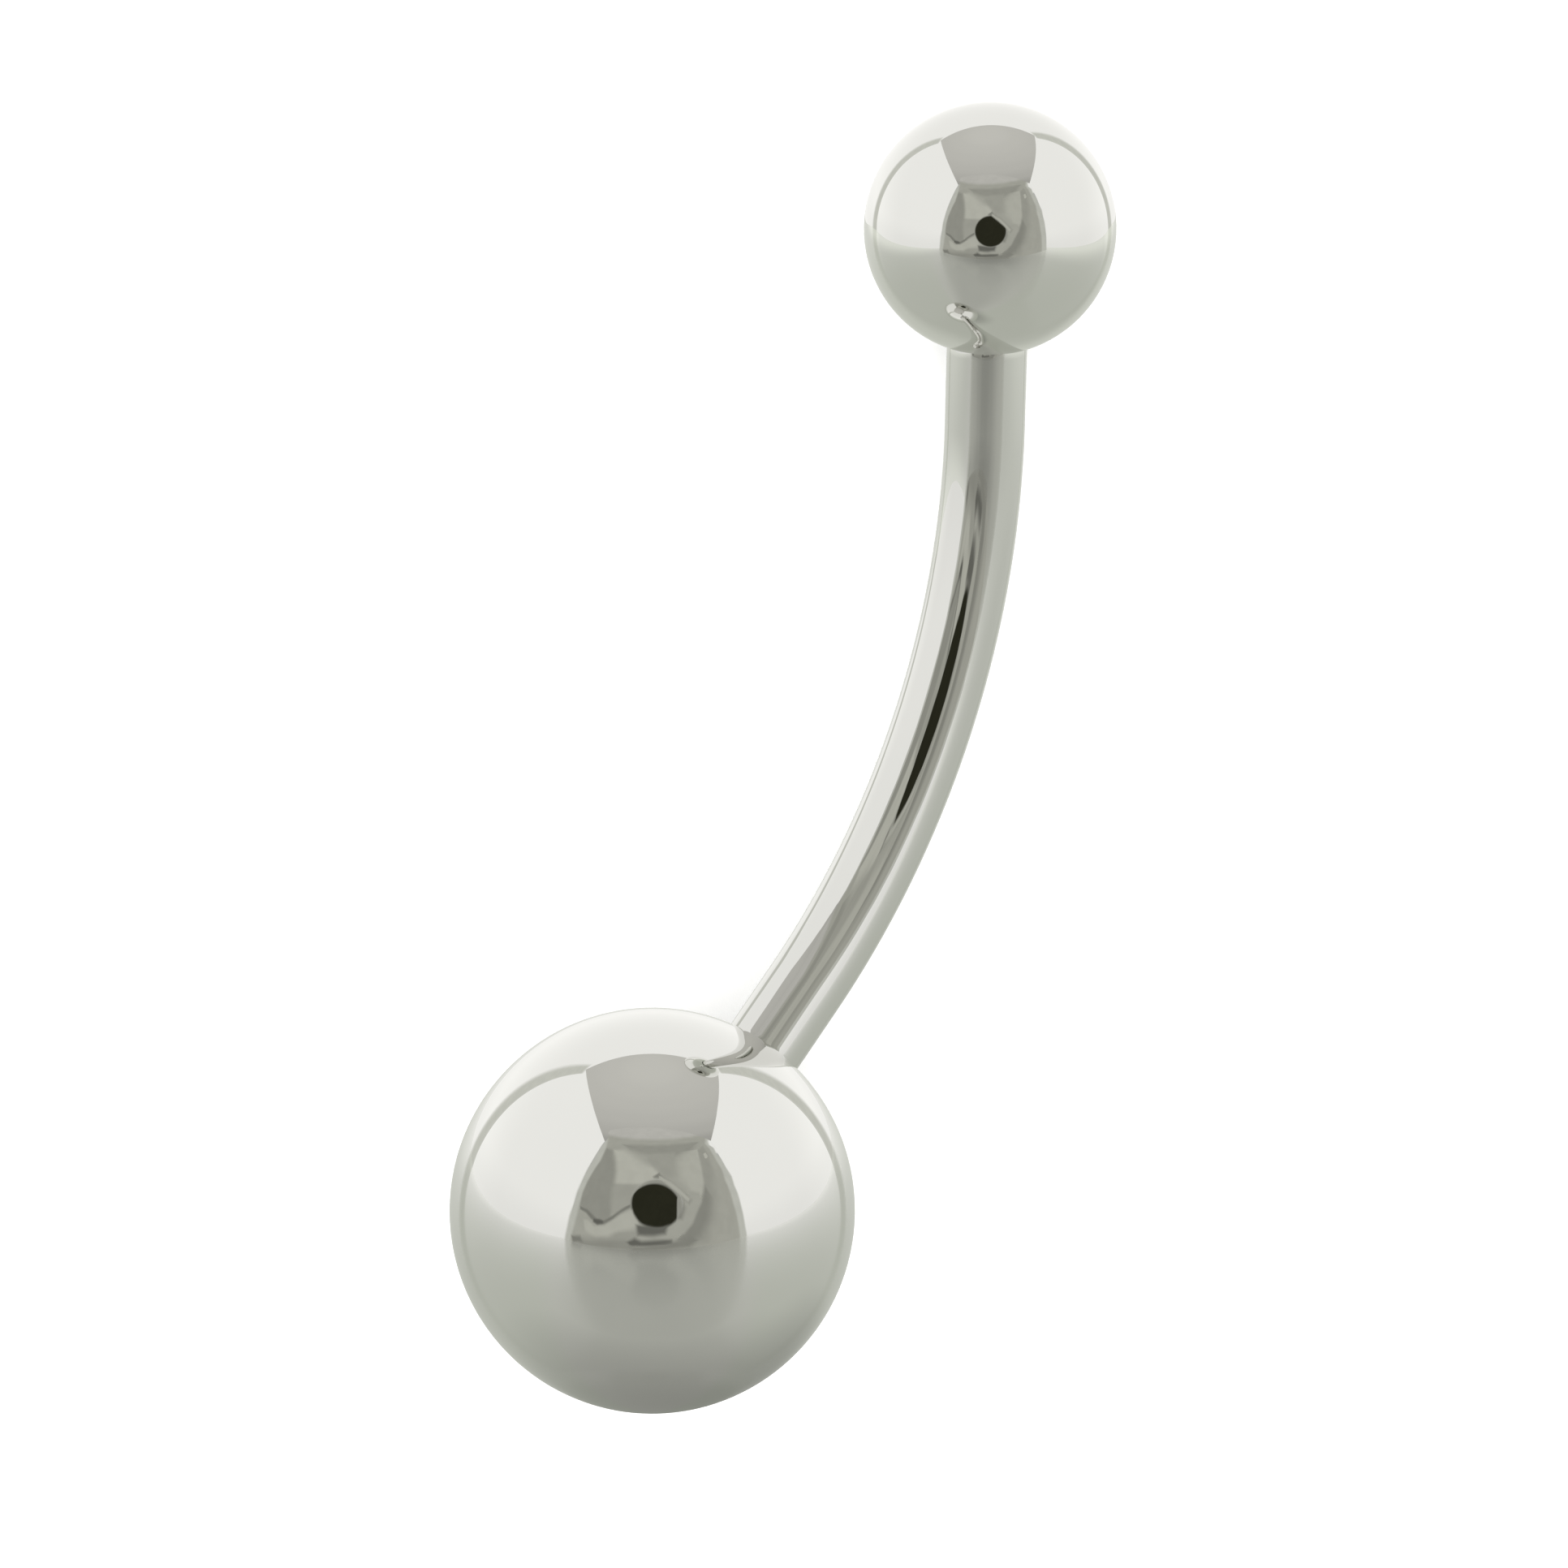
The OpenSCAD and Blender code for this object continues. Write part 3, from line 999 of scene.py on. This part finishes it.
curtainFolds = (
    # name, tone, degrees that the edge fades over, outline; a third number in a corner is its own fading
    # the tones are painted light and shade of the folded cloth: dark in its creases and folds, light where
    # they catch the light
    ("wallCorner", 229, 3, ((37, 45), (46, 45), (46, 33), (37, 33))),
    ("leftFrame", 180, 4, (
        (-31, 43), (-33.7, 39), (-34.6, 36), (-36.8, 30), (-39.2, 24), (-41, 18), (-43, 12), (-44, 6),
        (-46.4, 0), (-48, -6), (-50, -12), (-51, -18), (-53, -25), (-47, -25), (-43, -10), (-38, 0),
        (-36, 10), (-33, 20), (-30, 30), (-28, 43),
    )),
    ("rightFrame", 180, 4, (
        (43.2, 43), (40.6, 39.5), (40.6, 38), (43, 36), (43.6, 33), (45.4, 30), (46.9, 25), (49.2, 20),
        (49.8, 15), (51.2, 11), (52.4, 5), (53.6, 0), (55, -6), (57, -12), (61, -22), (54, -22), (49, -10),
        (46, 0), (43, 10), (40, 20), (37.5, 30), (36, 43),
    )),
    ("mainCloth", 157, 4, (
        (-34, 55), (44, 55), (42, 45), (40, 42), (38, 39), (40, 36), (40.8, 33), (41.8, 30), (44, 24),
        (44.8, 18), (46.5, 12), (47.9, 6), (49.5, 0), (51, -6), (52.5, -12), (58, -25), (0, -32),
        (-53, -25), (-46.5, -12), (-44, -6), (-42, 0), (-40.6, 6), (-39.2, 12), (-37.4, 18),
        (-34.8, 24), (-31.8, 30), (-30.6, 36), (-31, 42),
    )),
    ("topLight", 177, 8, (
        (-33, 58), (43, 58), (41.5, 45.5, 3), (36, 44.4), (28, 44), (15, 43.7), (2, 43.7), (-10, 43.7),
        (-21, 44), (-28, 44.4), (-32.5, 45.5, 3),
    )),
    ("topShade", 142, 6, (
        (-20, 40.4, 8), (-10, 40.4), (0, 40.4), (12, 40.4), (24, 40.4), (34, 40.4, 8), (28, 35.5, 8),
        (18, 34, 7), (8, 33.4), (0, 33.4), (-8, 36, 7),
    )),
    ("upperMiddle", 151, 6, ((-4, 35), (16, 36, 9), (16, 24, 9), (8, 21), (4, 26))),
    ("upperRight", 168, 3.5, (
        (20, 34, 9), (31.6, 36.5), (31.6, 18), (30, 13), (27, 10), (23, 14, 6), (18, 20, 9), (18, 28, 10),
    )),
    # painted light on the flap up to the left
    ("upperLeft", 173, 4.5, (
        (-25, 37, 6), (-18, 36.8, 7), (-10, 33.5, 7), (-3, 29.5, 7), (3, 26, 4), (4.8, 23.5, 2.5),
        (2, 20, 3), (-3, 17.5), (-10, 17), (-22.4, 16.8), (-22, 25), (-23.2, 31),
    )),
    ("middleLeft", 152, 5, ((-22.8, 18), (-6, 18), (-8, 6), (-16, 1, 3), (-22.8, 1))),
    ("leftShade", 140, 4.5, (
        (-30, 37.5, 5), (-25.6, 36.5, 5), (-23.4, 33, 6), (-22, 30, 6), (-21, 25, 6), (-20.8, 20, 6),
        (-22, 16), (-22.6, 8), (-22.5, 0, 3), (-26, -3, 2), (-31, -3, 2), (-34, 0, 2), (-37, 3, 3),
        (-40.4, 5, 3), (-39.4, 12, 3), (-37.4, 18, 3), (-34.8, 24, 3), (-31.8, 30, 3), (-30.8, 34, 3),
    )),
    ("lowerLeft", 149, 3.5, (
        (-7, -8), (-20, -8), (-34, -10.5), (-43, -10.5), (-46, -18), (-20, -19), (-8, -15),
    )),
    # painted light along the cuff of the fold
    ("cuff", 169, 3.5, (
        (-9.5, 4.5, 3), (-8, 0), (-7, -5), (-10, -6.5), (-18, -8), (-24, -10.8), (-31, -11), (-37, -8),
        (-38, -2), (-35.5, -2, 2), (-32, -5.5, 2), (-26, -5.2, 2), (-21, -2, 2), (-16, 1.3, 2),
    )),
    # painted shade along the crease, darkest deep in it
    ("crease", 118, 1.8, (
        (-40, 5), (-36, 3.6), (-33, 1), (-30, -1.6), (-26.5, -2.4), (-21, 0.6), (-17, 3.6), (-11, 7),
        (-11, 5.2), (-17, 1.8), (-21, -1.4), (-26, -4.2), (-30, -4.4), (-33.6, -1.4), (-36.4, 1.6),
        (-40, 3.4),
    )),
    ("creaseDeepShade", 92, 2.4, (
        (-32, -1.4), (-29, -1.6), (-26.5, -2.6), (-27, -4), (-30, -4.4), (-32.4, -3),
    )),
    ("foldSide", 147, 3, (
        (36, 38, 8), (31.8, 36), (31.6, 18), (29.4, 9), (26, 2), (23.5, -4), (19.4, -9), (15.5, -13),
        (24, -18, 6), (33, -14, 9), (37, 0, 10), (38, 18, 10), (37.5, 30, 8),
    )),
    # painted shade deep in the fold
    ("foldDeepShade", 131, 3, (
        (32, 16, 6), (29.4, 9), (26, 2), (23.5, -4), (19.4, -9), (15.5, -13), (22, -15.5, 5),
        (29, -11, 7), (33, -2, 8), (34.5, 8, 8),
    )),
    ("roundFold", 157, 3, (
        (23, 13, 5), (28, 13, 4), (29, 8), (25.8, 2), (23.2, -4), (19, -9), (12, -10.5), (10, -8),
        (15, -4, 4), (18, 1, 4), (20.5, 7, 4),
    )),
    # painted shade beside the lens and behind the ridge
    ("lensSideShade", 118, 5, ((13, 12), (17.5, 11), (19, 5), (17.5, -1), (13, -1))),
    ("ridgeBackShadow", 142, 3.5, ((6.5, 23.5), (13, 19), (19, 13.5), (23.5, 9), (22, 6.5), (16, 11.5), (9, 18))),
    # painted shadow under the lens, and painted shade along the foot of the curtain
    ("lensFootShadow", 97, 3.6, (
        (-8, -4.5), (0, -4.5), (6, -4.5), (11, -3), (8.5, -9.6), (2, -10.8), (-7, -10.2),
    )),
    ("footFoldShadow", 96, 3, (
        (-14, -14), (-9, -12), (-5, -13.6), (2, -13.2), (12, -12.8), (13, -16), (0, -16.8), (-12, -16.4),
    )),
    ("footLineShade", 127, 4, (
        (8, -15.8), (15, -13), (21, -11), (27, -13), (22, -17), (8, -19), (-10, -19.5), (-12, -17),
    )),
    ("footLeftShade", 136, 4, ((-41, -12), (-36, -13), (-15, -13), (-10, -18.6), (-30, -17), (-42, -16))),
    ("footSpotShade", 122, 4, ((-45.8, -10.2), (-40.6, -10.4), (-39.6, -13.6), (-45.2, -13.8))),
    # painted shade between the ridge and the lens
    ("triangleShade", 124, 2.4, ((1.6, 22.4), (5.4, 24.6), (6.4, 22.8), (5, 19), (1.6, 19.4))),
    ("button", 174, 1, ((34.6, 33.6), (36.4, 34.2), (37.2, 32.2), (36.2, 31), (35, 31.2))),
    # painted highlight along the ridge of the fold
    ("ridge", 165, 2, ((5, 23), (12, 19.2), (22.5, 9.6), (21.4, 8), (11.4, 16.8), (5.4, 21))),
)
closedFolds = ("wallCorner", "leftFrame", "rightFrame", "ridge")
foldTints = {"wallCorner": "cloth", "leftFrame": "edge", "rightFrame": "edge", "topLight": "roof"}
ballReach = bottomRadius / mm


def curtainPoint(turn, height, nearer):
    # the point of the curtain that the large ball mirrors at those angles
    turn, height = math.radians(turn), math.radians(height)
    level = math.cos(height)
    ray = Vector((math.sin(turn) * level, math.sin(height), math.cos(turn) * level))
    start = (ray + cameraAt.normalized()).normalized() * ballReach
    lean = curtainSizes["lean"]
    run = (curtainSizes["ahead"] - nearer + lean * start.y - start.z) / (ray.z - lean * ray.y)
    return (start + ray * run) * mm


for index, (name, tone, fading, places) in enumerate(curtainFolds):
    outline = []
    for turn, height, *own in places:
        width = (own[0] if own else fading) * curtainSizes["degree"]
        outline.append((curtainPoint(turn, height, curtainSizes["step"] * index), width))
    cloth = foldCloth if name in closedFolds else holedCloth
    hangPatch(name, outline, cloth, tone, foldTints.get(name, "curtain"))


def makeLensCloth():
    # grey at the mouth of the tube, and dark glass from where the tube ends
    material, tree, glow = makeGlow("lensTube")
    deep = addNode(tree, "ShaderNodeAttribute", attribute_name="deep").outputs["Fac"]
    mouth = tintedLight(tentTones["lensTube"], "curtain")
    glass = tintedLight(tentTones["lens"], "glass")
    colour = addNode(
        tree, "ShaderNodeMix",
        {0: fade(tree, deep, *lensSizes["glassFrom"]), 6: mouth, 7: glass}, data_type="RGBA",
    )
    tree.links.new(colour.outputs[2], glow.inputs["Color"])
    tree.links.new(clothCloud(tree, 60.0, 0.05), glow.inputs["Strength"])
    return material


def lensRing(depth):
    # the middle and the radius of the tube round the lens, which points at the small ball
    reach = depth * mm - smallBall.z
    middle = smallBall + Vector((lensSizes["turn"], lensSizes["rise"], 1)) * reach
    return middle, lensSizes["spread"] * lensSizes["wider"] * reach


def hangLens():
    # the large ball looks up into the tube and sees its grey wall beside the dark glass
    nearMiddle, nearRadius = lensRing(lensSizes["front"])
    farMiddle, farRadius = lensRing(lensSizes["back"])
    deselectAll()
    bpy.ops.mesh.primitive_circle_add(
        vertices=lensSizes["around"], radius=nearRadius, location=nearMiddle,
    )
    tube = bpy.context.object
    tube.name = "lensTube"
    settle(tube)
    tube.data.materials.append(makeLensCloth())
    pickPoints(tube, lambda co: True)
    extrudeEdges(farMiddle - nearMiddle)
    scaleRing(farRadius / nearRadius, farMiddle)
    bpy.ops.mesh.edge_face_add()
    bpy.ops.object.mode_set(mode="OBJECT")
    deep = tube.data.attributes.new("deep", "FLOAT", "POINT")
    halfway = (nearMiddle.z + farMiddle.z) / 2
    for index, vertex in enumerate(tube.data.vertices):
        reach = vertex.co - smallBall
        if vertex.co.z > halfway:
            deep.data[index].value = 1.0
            turn = reach.x / reach.z - lensSizes["turn"]
            rise = reach.y / reach.z - lensSizes["rise"]
            around = math.atan2(rise, turn) + math.radians(lensSizes["leanAt"])
            vertex.co = smallBall + reach * (1 + lensSizes["lean"] * max(0, math.cos(around)))
    showOnlyInReflections(tube)


hangLens()
print("curtain and lens hung")


# Floor and light

floorLook = {
    "size": 3.0,
    "pale": (0.93, 0.93, 0.925, 1),
    "shade": (0.90, 0.90, 0.895, 1),
    "rough": 0.7,
    "cloud": 20.0,
}
deselectAll()
bpy.ops.mesh.primitive_plane_add(size=floorLook["size"])
floor = bpy.context.object
floor.name = "paleFloor"
floorMaterial = bpy.data.materials.new("paleFloor")
floorMaterial.use_nodes = True
floorTree = floorMaterial.node_tree
floorShader = floorTree.nodes["Principled BSDF"]
floorShader.inputs["Roughness"].default_value = floorLook["rough"]
floorCloud = addNode(
    floorTree, "ShaderNodeTexNoise",
    {"Vector": objectPlace(floorTree), "Scale": floorLook["cloud"], "Detail": 4.0},
)
floorColour = addNode(
    floorTree, "ShaderNodeMix",
    {0: floorCloud.outputs["Fac"], 6: floorLook["shade"], 7: floorLook["pale"]}, data_type="RGBA",
)
floorTree.links.new(floorColour.outputs[2], floorShader.inputs["Base Color"])
floor.data.materials.append(floorMaterial)
floor.visible_glossy = False

lightSizes = {
    "sun": 2.2,
    "sunWidth": 80,  # degrees, for a soft shadow
    "sunTurn": (5, -4, 0),  # degrees from straight above
    "sky": 1.3,
    "skyColour": (1.0, 1.0, 0.995, 1),
    "mirrored": 0.5,  # the sky where a ball that is screwed off reflects past the tent
}
sunLight = bpy.data.lights.new("softSun", "SUN")
sunLight.energy = lightSizes["sun"]
sunLight.angle = math.radians(lightSizes["sunWidth"])
sun = bpy.data.objects.new("softSun", sunLight)
bpy.context.scene.collection.objects.link(sun)
sun.rotation_euler = [math.radians(turn) for turn in lightSizes["sunTurn"]]
sun.visible_glossy = False

world = bpy.data.worlds.new("paleWorld")
world.use_nodes = True
bpy.context.scene.world = world
sky = world.node_tree.nodes["Background"]
sky.inputs["Color"].default_value = lightSizes["skyColour"]
rayPath = addNode(world.node_tree, "ShaderNodeLightPath")
skyLight = addNode(
    world.node_tree, "ShaderNodeMapRange",
    {
        "Value": rayPath.outputs["Is Glossy Ray"], "To Min": lightSizes["sky"],
        "To Max": lightSizes["mirrored"],
    },
)
world.node_tree.links.new(skyLight.outputs["Result"], sky.inputs["Strength"])
bpy.context.scene.view_settings.view_transform = "Standard"
print("floor and light set")
